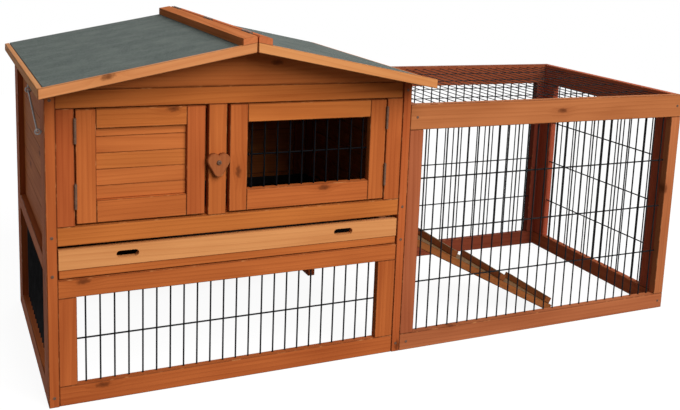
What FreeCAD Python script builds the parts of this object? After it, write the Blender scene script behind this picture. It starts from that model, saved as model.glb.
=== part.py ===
import FreeCAD, Part
import math
import os

# A two-storey rabbit hutch with a gabled roof, and a mesh run that stands against its right side.
# Lengths are in millimetres. While the pieces are drawn, x runs right from the hutch's left face,
# y runs back from the front face and z runs up from the ground. Each finished piece is then
# shifted, so that the origin is the middle of the base.

# Overall sizes
hutch_width = 775.0
run_length = 800.0
depth = 604.0
run_height = 586.0

# Timber sections
post_side = 20.0
front_setback = 2.0
board_thickness = 8.0
board_groove = 1.5
wall_board_pitch = 64.0
door_board_pitch = 32.7
door_first_board = 27.0
least_board_share = 0.25

# Heights of the front, from the ground up
bottom_rail_height = 41.0
lower_opening_height = 184.5
lower_top_rail_height = 37.5
tray_gap_below = 2.0
tray_rail_height = 18.5
tray_front_height = 40.5
tray_gap_above = 8.0
sill_rail_height = 38.0
door_gap_below = 4.0
door_height = 226.0
door_gap_above = 2.0
header_height = 36.0
header_step = 2.5
gable_edge_height = 6.0

# Widths of the front, from the left
lower_left_stile_width = 35.0
lower_right_stile_width = 44.0
left_jamb_width = 34.0
right_jamb_width = 38.0
left_door_width = 252.1
door_free_gap = 6.5
mullion_width = 38.0

# Side and back frames
side_stile_width = 50.0
right_front_stile_width = 25.0
side_mid_rail_height = 33.0
side_top_rail_height = 30.0
back_stile_width = 35.0

# Doors
door_stile_width = 38.0
door_top_rail_height = 38.0
door_bottom_rail_height = 45.0
door_board_recess = 8.0
stop_clearance = 0.3
stop_depth = 10.0
stop_height = 24.0
stop_lap = 10.0

# Butt hinges, on the doors and along the ridge
hinge_leaf = 1.0
hinge_leaf_gap = 0.4
hinge_leaf_depth = 13.0
knuckle_radius = 2.8
knuckle_clearance = 0.3
knuckle_gap = 0.3
pin_radius = 1.4
running_clearance = 0.05
door_hinge_length = 50.0
door_hinge_shares = (0.25, 0.82)
roof_hinge_length = 60.0
roof_hinge_shares = (0.1, 0.5, 0.9)

# Heart-shaped turn button and its screw
heart_width = 48.0
heart_height = 61.0
heart_tip_radius = 11.0
heart_thickness = 11.0
heart_lobe_share = 0.29
heart_pivot_share = 0.7
heart_pivot_height = 109.0
washer_thickness = 0.8
washer_radius = 8.0
button_play = 0.1
screw_shank_radius = 2.5
screw_head_radius = 5.0
screw_head_height = 3.0
screw_bite = 14.0

# Pull-out tray, and the floor that it slides on
tray_side_clearance = 2.0
tray_front_thickness = 15.0
tray_rail_setback = 2.0
tray_back_clearance = 6.0
tray_slot_width = 44.0
tray_slot_height = 14.0
tray_slot_shares = (0.18, 0.82)
tray_slot_height_share = 0.54
pan_sheet = 1.2
pan_height = 24.0
floor_clearance = 0.4
floor_thickness = 12.0
bearer_side = 20.0

# Welded wire mesh
wire = 3.6
top_wire = 2.0
wire_pitch = 28.2
cross_wire_pitch = 125.0
mesh_setback = 12.0

# Run
run_top_rail_height = 58.0
run_left_stile_width = 35.0
run_front_right_stile_width = 30.0
run_back_right_stile_width = 45.0
run_end_stile_width = 52.0
run_top_batten_height = 30.0
run_top_mesh_drop = 8.0

# Ramp
ramp_front = 80.0
ramp_width = 195.0
ramp_thickness = 18.0
ramp_top_height = 282.0
ramp_angle = math.radians(28.4)
cleat_count = 4
cleat_first = 24.0
cleat_pitch = 168.0
cleat_width = 20.0
cleat_height = 16.0
ramp_hook_sheet = 2.0
ramp_hook_width = 20.0
ramp_hook_grip = 12.0
ramp_hook_drop = 30.0
ramp_hook_shares = (0.2, 0.8)
pop_hole_width = 138.0
pop_hole_courses = 3

# Roof
eave_overhang = 18.0
front_overhang = 82.0
back_overhang = 40.0
roof_pitch = math.radians(11.4)
roof_rest_gap = 0.3
deck_thickness = 9.0
felt_thickness = 2.0
trim_width = 10.0
trim_depth = 20.0
trim_lip = 3.0
ridge_board_width = 30.0
ridge_board_thickness = 16.0
ridge_beam_width = 20.0
ridge_beam_height = 30.0

# Cabin hook between the left eave and the left wall
eye_wire_radius = 1.5
eye_ring_radius = 5.0
eye_stem = 16.0
roof_eye_back = 160.0
wall_eye_back = 35.0
wall_eye_height = 554.0
wall_eye_reach = 7.5
hook_radius = 1.8
hook_play = 0.3
hook_arm = 10.0
hook_tip = 9.5
hook_tip_gap = 1.0

# Screws that hold the front frames
frame_screw_radius = 3.2
frame_screw_proud = 0.8

# Length by which a cutting tool runs past what it cuts
overrun = 5.0

# Levels and lines that several pieces share
lower_opening = (bottom_rail_height, bottom_rail_height + lower_opening_height)
lower_rail_top = lower_opening[1] + lower_top_rail_height
tray_bottom = lower_rail_top + tray_gap_below
tray_front_bottom = tray_bottom + tray_rail_height
tray_top = tray_front_bottom + tray_front_height
sill_bottom = tray_top + tray_gap_above
sill_top = sill_bottom + sill_rail_height
door_z = (sill_top + door_gap_below, sill_top + door_gap_below + door_height)
header_bottom = door_z[1] + door_gap_above
header_top = header_bottom + header_height
wall_top = header_top + gable_edge_height
side_panel_bottom = tray_bottom + side_mid_rail_height
side_panel_top = wall_top - side_top_rail_height
inner_x = (post_side, hutch_width - post_side)
inner_y = (post_side, depth - post_side)
side_opening_y = (inner_y[0] + side_stile_width, inner_y[1] - side_stile_width)
right_opening_y = (inner_y[0] + right_front_stile_width, side_opening_y[1])
front_y = (front_setback, post_side)
back_y = (depth - post_side, depth - front_setback)
run_x = (hutch_width, hutch_width + run_length)
run_rail_bottom = run_height - run_top_rail_height
run_opening_z = (bottom_rail_height, run_rail_bottom)

# Lines of the doors
hinge_gap = hinge_leaf + hinge_leaf_gap + hinge_leaf
left_jamb = (inner_x[0], inner_x[0] + left_jamb_width)
right_jamb = (inner_x[1] - right_jamb_width, inner_x[1])
left_door_x = (left_jamb[1] + hinge_gap, left_jamb[1] + hinge_gap + left_door_width)
mullion_x = (left_door_x[1] + door_free_gap, left_door_x[1] + door_free_gap + mullion_width)
right_door_x = (mullion_x[1] + door_free_gap, right_jamb[0] - hinge_gap)
door_y = (front_setback, post_side - stop_clearance)
door_opening_z = (door_z[0] + door_bottom_rail_height, door_z[1] - door_top_rail_height)
hinge_axis_y = front_setback - knuckle_radius - knuckle_clearance
left_hinge_x = left_jamb[1] + hinge_gap / 2
right_hinge_x = right_jamb[0] - hinge_gap / 2
heart_x = (mullion_x[0] + mullion_x[1]) / 2
heart_z = door_z[0] + heart_pivot_height
heart_y = (front_setback - washer_thickness - 2 * button_play - heart_thickness,
           front_setback - washer_thickness - 2 * button_play)

# Lines of the tray and the ramp
tray_x = (inner_x[0] + tray_side_clearance, inner_x[1] - tray_side_clearance)
tray_y = (front_setback, front_setback + tray_front_thickness)
pan_y = (tray_y[1], inner_y[1] - tray_back_clearance)
floor_top = tray_bottom - floor_clearance
ramp_y = (ramp_front, ramp_front + ramp_width)
ramp_start = hutch_width + ramp_hook_sheet
pop_hole_y = (right_opening_y[0], right_opening_y[0] + pop_hole_width)

# Lines of the roof, at a distance u from the ridge and a height above the underside of the deck
ridge_x = hutch_width / 2
eave_u = hutch_width / 2 + eave_overhang
roof_y = (-front_overhang, depth + back_overhang)
roof_slope = math.tan(roof_pitch)
deck_rise = deck_thickness / math.cos(roof_pitch)
felt_rise = deck_rise + felt_thickness / math.cos(roof_pitch)
trim_rise = felt_rise + trim_lip
ridge_rise = felt_rise + ridge_board_thickness / math.cos(roof_pitch)
joint_u = hinge_gap / 2
deck_u = (joint_u, eave_u - trim_width)
deck_y = (roof_y[0] + trim_width, roof_y[1] - trim_width)
behind_barge = (deck_y[0], roof_y[1])


def deck_underside(u):
    """Height of the underside of the roof deck at the distance u from the ridge."""
    return wall_top + roof_rest_gap + roof_slope * (hutch_width / 2 - u)


ridge_axis_z = deck_underside(0) + ridge_rise
origin = FreeCAD.Vector((run_x[1] - eave_overhang) / 2, (roof_y[0] + roof_y[1]) / 2, 0)


def vec(x, y, z):
    """A point or direction."""
    return FreeCAD.Vector(x, y, z)


def block(x, y, z):
    """A square-edged solid between pairs of coordinates."""
    return Part.makeBox(x[1] - x[0], y[1] - y[0], z[1] - z[0], vec(x[0], y[0], z[0]))


def polygon_face(points):
    """A flat face inside a closed line through the points."""
    return Part.Face(Part.makePolygon(points + points[:1]))


def prism_y(outline, y):
    """A solid with an outline of (x, z) points, carried along y."""
    face = polygon_face([vec(x, y[0], z) for x, z in outline])
    return face.extrude(vec(0, y[1] - y[0], 0))


def prism_x(outline, x):
    """A solid with an outline of (y, z) points, carried along x."""
    face = polygon_face([vec(x[0], y, z) for y, z in outline])
    return face.extrude(vec(x[1] - x[0], 0, 0))


def rod(start, end, radius):
    """A round bar between two points."""
    run = end - start
    return Part.makeCylinder(radius, run.Length, start, run)


def fused(first, *others):
    """The solids joined into one."""
    return first.multiFuse(list(others)).removeSplitter()


def middle(pair):
    """The value halfway between two coordinates."""
    return (pair[0] + pair[1]) / 2


def along(pair, share):
    """The value at a share of the way between two coordinates."""
    return pair[0] + share * (pair[1] - pair[0])


def save(name, *solids):
    """Writes one node, moved to the part's own origin."""
    placed = [solid.copy() for solid in solids]
    for solid in placed:
        solid.translate(origin * -1)
    shape = placed[0] if len(placed) == 1 else Part.makeCompound(placed)
    shape.exportStep(os.path.join("parts", name + ".step"))
    print(name, len(shape.Solids), "solids", round(shape.Volume), "mm3", "valid", shape.isValid())


def course_levels(z, pitch):
    """Levels that part a height into equal courses, close to the pitch."""
    count = max(1, round((z[1] - z[0]) / pitch))
    step = (z[1] - z[0]) / count
    return [(z[0] + step * i, z[0] + step * (i + 1)) for i in range(count)]


def trimmed_levels(z, first, pitch):
    """Levels of boards of one width, the lowest and the highest trimmed to the opening."""
    edges = [z[0], z[0] + first]
    while edges[-1] + pitch * (1 + least_board_share) < z[1]:
        edges.append(edges[-1] + pitch)
    edges.append(z[1])
    return list(zip(edges, edges[1:]))


def board_outline(face, back, z):
    """Section of a matched board whose show face has eased long edges."""
    eased = face + math.copysign(board_groove, back - face)
    return [(face, z[0] + board_groove), (face, z[1] - board_groove), (eased, z[1]),
            (back, z[1]), (back, z[0]), (eased, z[0])]


def wire_grid(a, b, place, through):
    """Welded mesh in a flat opening: close wires along b, and a few cross wires along a."""
    half = through.Length / 2
    close_count = max(1, round((a[1] - a[0]) / wire_pitch))
    cross_count = max(1, round((b[1] - b[0]) / cross_wire_pitch) - 1)
    close = [middle(a) + (i - (close_count - 1) / 2) * wire_pitch for i in range(close_count)]
    cross = [middle(b) + (i - (cross_count - 1) / 2) * cross_wire_pitch for i in range(cross_count)]
    a_edges = [a[0] - overrun] + [e for c in close for e in (c - half, c + half)] + [a[1] + overrun]
    b_edges = [b[0] - overrun] + [e for c in cross for e in (c - half, c + half)] + [b[1] + overrun]
    gaps = []
    for a0, a1 in zip(a_edges[0::2], a_edges[1::2]):
        for b0, b1 in zip(b_edges[0::2], b_edges[1::2]):
            gaps.append(polygon_face([place(a0, b0), place(a1, b0), place(a1, b1), place(a0, b1)]))
    sheet = polygon_face([place(a[0], b[0]), place(a[1], b[0]), place(a[1], b[1]), place(a[0], b[1])])
    return sheet.cut(Part.makeCompound(gaps)).Faces[0].extrude(through)


def front_mesh(x, z, y):
    """Mesh in an upright opening that faces the front, its near side at y."""
    return wire_grid(x, z, lambda a, b: vec(a, y, b), vec(0, wire, 0))


def side_mesh(y, z, x):
    """Mesh in an upright opening that faces a side, its near side at x."""
    return wire_grid(y, z, lambda a, b: vec(x, a, b), vec(wire, 0, 0))


def heart_outline():
    """The blunt heart about its pivot, as edges in the x-z plane."""
    lobe = heart_width * heart_lobe_share
    lobe_x = heart_width / 2 - lobe
    lobe_z = heart_height * (1 - heart_pivot_share) - lobe
    point_z = -heart_height * heart_pivot_share
    reach = math.hypot(lobe_x, lobe_z - point_z)
    tilt = math.atan2(lobe_x, lobe_z - point_z) + math.asin(lobe / reach)
    tip_z = point_z + heart_tip_radius / math.sin(tilt)
    notch = vec(0, 0, lobe_z + math.sqrt(lobe ** 2 - lobe_x ** 2))
    edges = []
    tip_ends = []
    for side in (-1, 1):
        tip = vec(side * heart_tip_radius * math.cos(tilt), 0, tip_z - heart_tip_radius * math.sin(tilt))
        tip_ends.append(tip)
        touch = vec(side * (lobe_x + lobe * math.cos(tilt)), 0, lobe_z - lobe * math.sin(tilt))
        swing = math.radians(90) - tilt / 2
        crown = vec(side * (lobe_x + lobe * math.cos(swing)), 0, lobe_z + lobe * math.sin(swing))
        edges.append(Part.makeLine(tip, touch))
        edges.append(Part.Arc(touch, crown, notch).toShape())
    edges.append(Part.Arc(tip_ends[0], vec(0, 0, tip_z - heart_tip_radius), tip_ends[1]).toShape())
    return edges


def heart_solid():
    """The heart at its place on the mullion."""
    loop = Part.Wire(Part.__sortEdges__(heart_outline()))
    solid = Part.Face(loop).extrude(vec(0, heart_thickness, 0))
    solid.translate(vec(heart_x, heart_y[0], heart_z))
    return solid


def butt_hinge(place, length):
    """A butt hinge, as its fixed leaf with the pin and its moving leaf.

    place turns a sideways distance, a depth and a distance along the pin into a point. The moving
    leaf lies on the positive side.
    """
    leaf_start = knuckle_radius + knuckle_clearance
    neck_start = middle((pin_radius, knuckle_radius))
    third = length / 6
    spans = [(-length / 2, -third - knuckle_gap / 2),
             (-third + knuckle_gap / 2, third - knuckle_gap / 2),
             (third + knuckle_gap / 2, length / 2)]

    def plate(s, d, a):
        corners = [place(s[i], d[i], a[i]) for i in (0, 1)]
        return block(*[sorted((corners[0][i], corners[1][i])) for i in range(3)])

    def barrel(radius, a):
        return rod(place(0, 0, a[0]), place(0, 0, a[1]), radius)

    fixed_s = (-hinge_gap / 2, -hinge_leaf_gap / 2)
    moving_s = (hinge_leaf_gap / 2, hinge_gap / 2)
    whole = (-length / 2, length / 2)
    fixed = [plate(fixed_s, (leaf_start, hinge_leaf_depth), whole), barrel(pin_radius, whole)]
    for span in (spans[0], spans[2]):
        fixed.append(barrel(knuckle_radius, span))
        fixed.append(plate(fixed_s, (neck_start, leaf_start), span))
    moving = fused(plate(moving_s, (leaf_start, hinge_leaf_depth), whole),
                   plate(moving_s, (neck_start, leaf_start), spans[1]),
                   barrel(knuckle_radius, spans[1]))
    return fused(*fixed), moving.cut(barrel(pin_radius + running_clearance, spans[1]))


def panel_frame(span, z, left, right, low, high, piece):
    """A flat frame of two full-length rails with two stiles between them."""
    return [piece(span, (z[0], z[0] + low)), piece(span, (z[1] - high, z[1])),
            piece((span[0], span[0] + left), (z[0] + low, z[1] - high)),
            piece((span[1] - right, span[1]), (z[0] + low, z[1] - high))]


def make_posts():
    """The four corner posts of the hutch."""
    tall = (0, wall_top)
    left, right = (0, post_side), (inner_x[1], hutch_width)
    front, back = (0, post_side), (inner_y[1], depth)
    save("front_posts", block(left, front, tall), block(right, front, tall))
    save("back_posts", block(left, back, tall), block(right, back, tall))


def gable_board(y):
    """A board that closes the roof's end, from the header up to the deck."""
    side_u = hutch_width / 2 - post_side
    edge_z = deck_underside(side_u) - roof_rest_gap
    peak_z = deck_underside(0) - roof_rest_gap
    outline = [(inner_x[0], header_top), (inner_x[1], header_top), (inner_x[1], edge_z),
               (ridge_x, peak_z), (inner_x[0], edge_z)]
    return prism_y(outline, y)


def make_front():
    """Header, gable board, door surround and sill rail."""
    save("front_header", block(inner_x, (front_y[0] + header_step, front_y[1]), (header_bottom, header_top)))
    save("front_gable_board", gable_board(front_y))
    save("door_sill_rail", block(inner_x, front_y, (sill_bottom, sill_top)))
    jamb_z = (sill_top, header_bottom)
    mullion = block(mullion_x, front_y, jamb_z)
    mullion = mullion.cut(rod(vec(heart_x, front_setback, heart_z),
                              vec(heart_x, front_setback + screw_bite, heart_z), screw_shank_radius))
    stop_y = (post_side, post_side + stop_depth)
    stop_top = (door_z[1] - stop_lap, door_z[1] - stop_lap + stop_height)
    stop_low = (door_z[0] + stop_lap - stop_height, door_z[0] + stop_lap)
    save("door_surround", block(left_jamb, front_y, jamb_z), block(right_jamb, front_y, jamb_z), mullion,
         block(inner_x, stop_y, stop_top), block(inner_x, stop_y, stop_low))


def make_lower_front():
    """Framed mesh panel below the tray."""
    frame = panel_frame(inner_x, (0, lower_rail_top), lower_left_stile_width, lower_right_stile_width,
                        bottom_rail_height, lower_top_rail_height, lambda x, z: block(x, front_y, z))
    save("lower_front_frame", *frame)
    x = (inner_x[0] + lower_left_stile_width, inner_x[1] - lower_right_stile_width)
    save("lower_front_mesh", front_mesh(x, lower_opening, mesh_setback))


def make_left_wall():
    """Left wall: boards above, mesh below, in one frame."""
    x = (0, post_side)
    stiles = [block(x, (inner_y[0], side_opening_y[0]), (0, wall_top)),
              block(x, (side_opening_y[1], inner_y[1]), (0, wall_top))]
    rails = [block(x, side_opening_y, z) for z in
             ((0, bottom_rail_height), (tray_bottom, side_panel_bottom), (side_panel_top, wall_top))]
    save("left_wall_frame", *stiles, *rails)
    face = post_side - board_thickness
    boards = [prism_y(board_outline(face, post_side, z), side_opening_y)
              for z in course_levels((side_panel_bottom, side_panel_top), wall_board_pitch)]
    save("left_wall_boards", *boards)
    save("left_lower_mesh", side_mesh(side_opening_y, (bottom_rail_height, tray_bottom), mesh_setback))


def make_right_wall():
    """Right wall: boards with the pop hole above, an open way into the run below."""
    x = (inner_x[1], hutch_width)
    stiles = [block(x, (inner_y[0], right_opening_y[0]), (0, wall_top)),
              block(x, (right_opening_y[1], inner_y[1]), (0, wall_top))]
    rails = [block(x, right_opening_y, z) for z in
             ((tray_bottom, side_panel_bottom), (side_panel_top, wall_top))]
    save("right_wall_frame", *stiles, *rails)
    face = inner_x[1] + board_thickness
    boards = []
    for i, z in enumerate(course_levels((side_panel_bottom, side_panel_top), wall_board_pitch)):
        start = pop_hole_y[1] if i < pop_hole_courses else right_opening_y[0]
        boards.append(prism_y(board_outline(face, inner_x[1], z), (start, right_opening_y[1])))
    save("right_wall_boards", *boards)


def make_back_wall():
    """Back wall: boards above, mesh below, and a gable board on top."""
    stile_x = [(inner_x[0], inner_x[0] + back_stile_width), (inner_x[1] - back_stile_width, inner_x[1])]
    opening_x = (stile_x[0][1], stile_x[1][0])
    stiles = [block(x, back_y, (0, header_top)) for x in stile_x]
    rails = [block(opening_x, back_y, z) for z in
             ((0, bottom_rail_height), (lower_opening[1], side_panel_bottom), (header_bottom, header_top))]
    save("back_wall_frame", *stiles, *rails)
    boards = [prism_x(board_outline(back_y[0] + board_thickness, back_y[0], z), opening_x)
              for z in course_levels((side_panel_bottom, header_bottom), wall_board_pitch)]
    save("back_wall_boards", *boards)
    save("back_lower_mesh", front_mesh(opening_x, lower_opening, depth - mesh_setback))
    save("back_gable_board", gable_board(back_y))


def make_floor():
    """Floor of the upper storey and the bearers under it."""
    floor_z = (floor_top - floor_thickness, floor_top)
    bearer_z = (floor_z[0] - bearer_side, floor_z[0])
    save("cabin_floor", block(inner_x, inner_y, floor_z))
    save("floor_bearers", block((inner_x[0], inner_x[0] + bearer_side), inner_y, bearer_z),
         block((inner_x[1] - bearer_side, inner_x[1]), inner_y, bearer_z))


def make_tray():
    """Pull-out tray: a front board with two finger slots, a rail under it and a folded pan."""
    slot_r = tray_slot_height / 2
    slot_z = along((tray_front_bottom, tray_top), tray_slot_height_share)
    cut_y = (tray_y[0] - overrun, tray_y[1] + overrun)
    front = block(tray_x, tray_y, (tray_front_bottom, tray_top))
    for share in tray_slot_shares:
        x = along(tray_x, share)
        ends = (x - tray_slot_width / 2 + slot_r, x + tray_slot_width / 2 - slot_r)
        tools = [rod(vec(end, cut_y[0], slot_z), vec(end, cut_y[1], slot_z), slot_r) for end in ends]
        front = front.cut(fused(block(ends, cut_y, (slot_z - slot_r, slot_z + slot_r)), *tools))
    save("tray_front", front)
    save("tray_rail", block(tray_x, (tray_y[0] + tray_rail_setback, tray_y[1]),
                            (tray_bottom, tray_front_bottom)))
    inside = block((tray_x[0] + pan_sheet, tray_x[1] - pan_sheet),
                   (pan_y[0] - overrun, pan_y[1] - pan_sheet),
                   (tray_bottom + pan_sheet, tray_bottom + pan_height + overrun))
    save("tray_pan", block(tray_x, pan_y, (tray_bottom, tray_bottom + pan_height)).cut(inside))


def door_frame_pieces(x, hinge_on_left):
    """Hinge stile, rails and free stile of a door, and the span between its stiles."""
    inner = (x[0] + door_stile_width, x[1] - door_stile_width)
    left = block((x[0], inner[0]), door_y, door_z)
    right = block((inner[1], x[1]), door_y, door_z)
    rails = [block(inner, door_y, (door_z[0], door_opening_z[0])),
             block(inner, door_y, (door_opening_z[1], door_z[1]))]
    hinge_stile, free_stile = (left, right) if hinge_on_left else (right, left)
    return hinge_stile, rails, free_stile, inner


def make_doors():
    """Left door of boards and right door with a mesh window."""
    hinge_stile, rails, free_stile, inner = door_frame_pieces(left_door_x, True)
    save("left_door_frame", hinge_stile, *rails)
    save("left_door_free_stile", free_stile)
    face = door_y[0] + door_board_recess
    boards = [prism_x(board_outline(face, face + board_thickness, z), inner)
              for z in trimmed_levels(door_opening_z, door_first_board, door_board_pitch)]
    save("left_door_boards", *boards)
    hinge_stile, rails, free_stile, inner = door_frame_pieces(right_door_x, False)
    save("right_door_frame", hinge_stile, *rails)
    save("right_door_free_stile", free_stile)
    save("right_door_mesh", front_mesh(inner, door_opening_z, mesh_setback))


def make_door_hinges():
    """Two butt hinges on the outer edge of each door."""
    jamb_leaves = []
    for name, x, side in (("left", left_hinge_x, 1), ("right", right_hinge_x, -1)):
        door_leaves = []
        for share in door_hinge_shares:
            z = along(door_z, share)
            fixed, moving = butt_hinge(
                lambda s, d, a: vec(x + side * s, hinge_axis_y + d, z + a), door_hinge_length)
            jamb_leaves.append(fixed)
            door_leaves.append(moving)
        save(name + "_door_hinge_leaves", *door_leaves)
    save("door_hinge_jamb_leaves", *jamb_leaves)


def make_turn_button():
    """Heart-shaped turn button, its screw and its washer."""
    def bar(y, radius):
        return rod(vec(heart_x, y[0], heart_z), vec(heart_x, y[1], heart_z), radius)
    bore = bar((heart_y[0] - overrun, heart_y[1] + overrun), screw_shank_radius + running_clearance)
    save("heart_turn_button", heart_solid().cut(bore))
    head_y = (heart_y[0] - button_play - screw_head_height, heart_y[0] - button_play)
    washer_y = (front_setback - washer_thickness, front_setback)
    shank_y = (head_y[1], front_setback + screw_bite)
    screw = fused(bar(head_y, screw_head_radius), bar(shank_y, screw_shank_radius))
    save("turn_button_screw", screw, bar(washer_y, washer_radius).cut(bar(washer_y, screw_shank_radius)))


def make_run():
    """Framed mesh panels of the run, with mesh over the top."""
    tall = (0, run_height)
    opening = (run_x[0] + run_left_stile_width, run_x[1] - run_front_right_stile_width)
    frame = panel_frame(run_x, tall, run_left_stile_width, run_front_right_stile_width, bottom_rail_height,
                        run_top_rail_height, lambda x, z: block(x, (0, post_side), z))
    save("run_front_frame", *frame)
    save("run_front_mesh", front_mesh(opening, run_opening_z, mesh_setback))
    opening = (run_x[0] + run_left_stile_width, run_x[1] - run_back_right_stile_width)
    frame = panel_frame(run_x, tall, run_left_stile_width, run_back_right_stile_width, bottom_rail_height,
                        run_top_rail_height, lambda x, z: block(x, (inner_y[1], depth), z))
    save("run_back_frame", *frame)
    save("run_back_mesh", front_mesh(opening, run_opening_z, depth - mesh_setback))
    end_x = (run_x[1] - post_side, run_x[1])
    frame = panel_frame(inner_y, tall, run_end_stile_width, run_end_stile_width, bottom_rail_height,
                        run_top_rail_height, lambda y, z: block(end_x, y, z))
    save("run_end_frame", *frame)
    opening = (inner_y[0] + run_end_stile_width, inner_y[1] - run_end_stile_width)
    save("run_end_mesh", side_mesh(opening, run_opening_z, run_x[1] - mesh_setback))
    batten_x = (run_x[0], run_x[0] + post_side)
    save("run_top_batten", block(batten_x, inner_y, (run_height - run_top_batten_height, run_height)))
    save("run_top_mesh", wire_grid((batten_x[1], end_x[0]), inner_y,
                                   lambda a, b: vec(a, b, run_height - run_top_mesh_drop),
                                   vec(0, 0, top_wire)))


def make_ramp():
    """Sloping board with cleats, hung on the right wall's middle rail."""
    sine, cosine = math.sin(ramp_angle), math.cos(ramp_angle)
    low_z = ramp_top_height - ramp_thickness / cosine
    foot_x = ramp_start + low_z / math.tan(ramp_angle)
    outline = [(ramp_start, low_z), (foot_x, 0),
               (foot_x + ramp_thickness * sine, ramp_thickness * cosine), (ramp_start, ramp_top_height)]
    save("ramp_board", prism_y(outline, ramp_y))
    cleats = []
    for i in range(cleat_count):
        s = cleat_first + i * cleat_pitch
        corners = ((s, 0), (s + cleat_width, 0), (s + cleat_width, cleat_height), (s, cleat_height))
        cleats.append(prism_y([(ramp_start + a * cosine + b * sine, ramp_top_height - a * sine + b * cosine)
                               for a, b in corners], ramp_y))
    save("ramp_cleats", *cleats)
    over = (hutch_width - ramp_hook_grip, side_panel_bottom, side_panel_bottom + ramp_hook_sheet)
    outline = [(over[0], over[1]), (hutch_width, over[1]), (hutch_width, over[1] - ramp_hook_drop),
               (ramp_start, over[1] - ramp_hook_drop), (ramp_start, over[2]), (over[0], over[2])]
    hooks = []
    for share in ramp_hook_shares:
        y = along(ramp_y, share)
        hooks.append(prism_y(outline, (y - ramp_hook_width / 2, y + ramp_hook_width / 2)))
    save("ramp_hooks", *hooks)


def roof_strip(side, u, rise, y):
    """A sloping slab of one roof side, between two distances from the ridge."""
    corners = ((0, 0), (1, 0), (1, 1), (0, 1))
    outline = [(ridge_x + side * u[i], deck_underside(u[i]) + rise[j]) for i, j in corners]
    return prism_y(outline, y)


def eave_trim(side):
    """The board along the eave of one roof side."""
    return roof_strip(side, (deck_u[1], eave_u), (trim_rise - trim_depth, felt_rise), behind_barge)


def make_roof_side(name, side):
    """Deck, felt, edge trim and ridge board of one roof side."""
    barge_y = (roof_y[0], deck_y[0])
    low = trim_rise - trim_depth
    save("roof_" + name + "_deck", roof_strip(side, deck_u, (0, deck_rise), deck_y))
    save("roof_" + name + "_felt", roof_strip(side, deck_u, (deck_rise, felt_rise), behind_barge))
    save("roof_" + name + "_trim", roof_strip(side, (joint_u, eave_u), (low, trim_rise), barge_y),
         roof_strip(side, deck_u, (low, deck_rise), (deck_y[1], roof_y[1])), eave_trim(side))
    ridge_u = (joint_u, ridge_board_width)
    ridge = fused(roof_strip(side, ridge_u, (felt_rise, ridge_rise), behind_barge),
                  roof_strip(side, ridge_u, (trim_rise, ridge_rise), barge_y))
    groove = rod(vec(ridge_x, roof_y[0] - overrun, ridge_axis_z),
                 vec(ridge_x, roof_y[1] + overrun, ridge_axis_z), knuckle_radius + knuckle_clearance)
    save("ridge_" + name + "_board", ridge.cut(groove))


def make_roof():
    """Both roof sides, the hinges between their ridge boards and the beam below."""
    make_roof_side("left", -1)
    make_roof_side("right", 1)
    fixed_leaves, moving_leaves = [], []
    for share in roof_hinge_shares:
        y = along(roof_y, share)
        fixed, moving = butt_hinge(
            lambda s, d, a: vec(ridge_x - s, y + a, ridge_axis_z - d), roof_hinge_length)
        fixed_leaves.append(fixed)
        moving_leaves.append(moving)
    save("roof_hinge_fixed_leaves", *fixed_leaves)
    save("roof_hinge_moving_leaves", *moving_leaves)
    beam_top = deck_underside(ridge_beam_width / 2) - roof_rest_gap
    save("ridge_beam", block((ridge_x - ridge_beam_width / 2, ridge_x + ridge_beam_width / 2), inner_y,
                             (beam_top - ridge_beam_height, beam_top)))


# Lines of the cabin hook
roof_eye_u = eave_u - eye_ring_radius - eye_wire_radius
roof_eye_seat = deck_underside(roof_eye_u) + trim_rise - trim_depth
roof_eye = vec(ridge_x - roof_eye_u, roof_eye_back, roof_eye_seat - eye_stem - eye_ring_radius)
eye_hole_radius = eye_ring_radius - eye_wire_radius
hook_pivot = roof_eye - vec(0, 0, eye_hole_radius - hook_radius - hook_play)
wall_eye = vec(-wall_eye_reach, wall_eye_back, wall_eye_height)


def make_hook():
    """Cabin hook that hangs from an eye under the left eave, beside an eye in the left wall."""
    across = vec(0, 1, 0)
    past_seat = vec(roof_eye.x, roof_eye.y, roof_eye_seat + eye_wire_radius)
    ring = Part.makeTorus(eye_ring_radius, eye_wire_radius, roof_eye, across)
    stem = rod(roof_eye + vec(0, 0, eye_ring_radius), past_seat, eye_wire_radius)
    save("hook_roof_eye", fused(ring, stem.cut(eave_trim(-1))))
    ring = Part.makeTorus(eye_ring_radius, eye_wire_radius, wall_eye, across)
    wall_face = vec(0, wall_eye.y, wall_eye.z)
    save("hook_wall_eye", fused(ring, rod(wall_face, wall_eye + vec(eye_ring_radius, 0, 0), eye_wire_radius)))
    tip = wall_eye + vec(0, eye_wire_radius + hook_tip_gap, 0)
    route = [hook_pivot + vec(0, hook_arm / 2, 0), hook_pivot - vec(0, hook_arm / 2, 0),
             tip + vec(0, hook_tip, 0), tip]
    pieces = [rod(a, b, hook_radius) for a, b in zip(route, route[1:])]
    pieces += [Part.makeSphere(hook_radius, bend) for bend in route[1:-1]]
    save("cabin_hook", fused(*pieces))


def make_frame_screws():
    """Raised heads of the screws in the front posts and in the run's front frame."""
    heads = []

    def head(x, z):
        heads.append(rod(vec(x, -frame_screw_proud, z), vec(x, 0, z), frame_screw_radius))
    post_levels = [middle(z) for z in ((0, bottom_rail_height), (lower_rail_top, tray_front_bottom),
                                       (sill_bottom, sill_top), (header_bottom, header_top))]
    for x in (post_side / 2, hutch_width - post_side / 2):
        for z in post_levels:
            head(x, z)
    for x in (run_x[0] + run_left_stile_width / 2, run_x[1] - run_front_right_stile_width / 2):
        for z in (bottom_rail_height / 2, run_height - run_top_rail_height / 2):
            head(x, z)
    save("frame_screws", *heads)


os.makedirs("parts", exist_ok=True)
make_posts()
make_front()
make_lower_front()
make_left_wall()
make_right_wall()
make_back_wall()
make_floor()
make_tray()
make_doors()
make_door_hinges()
make_turn_button()
make_run()
make_ramp()
make_roof()
make_hook()
make_frame_screws()
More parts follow.
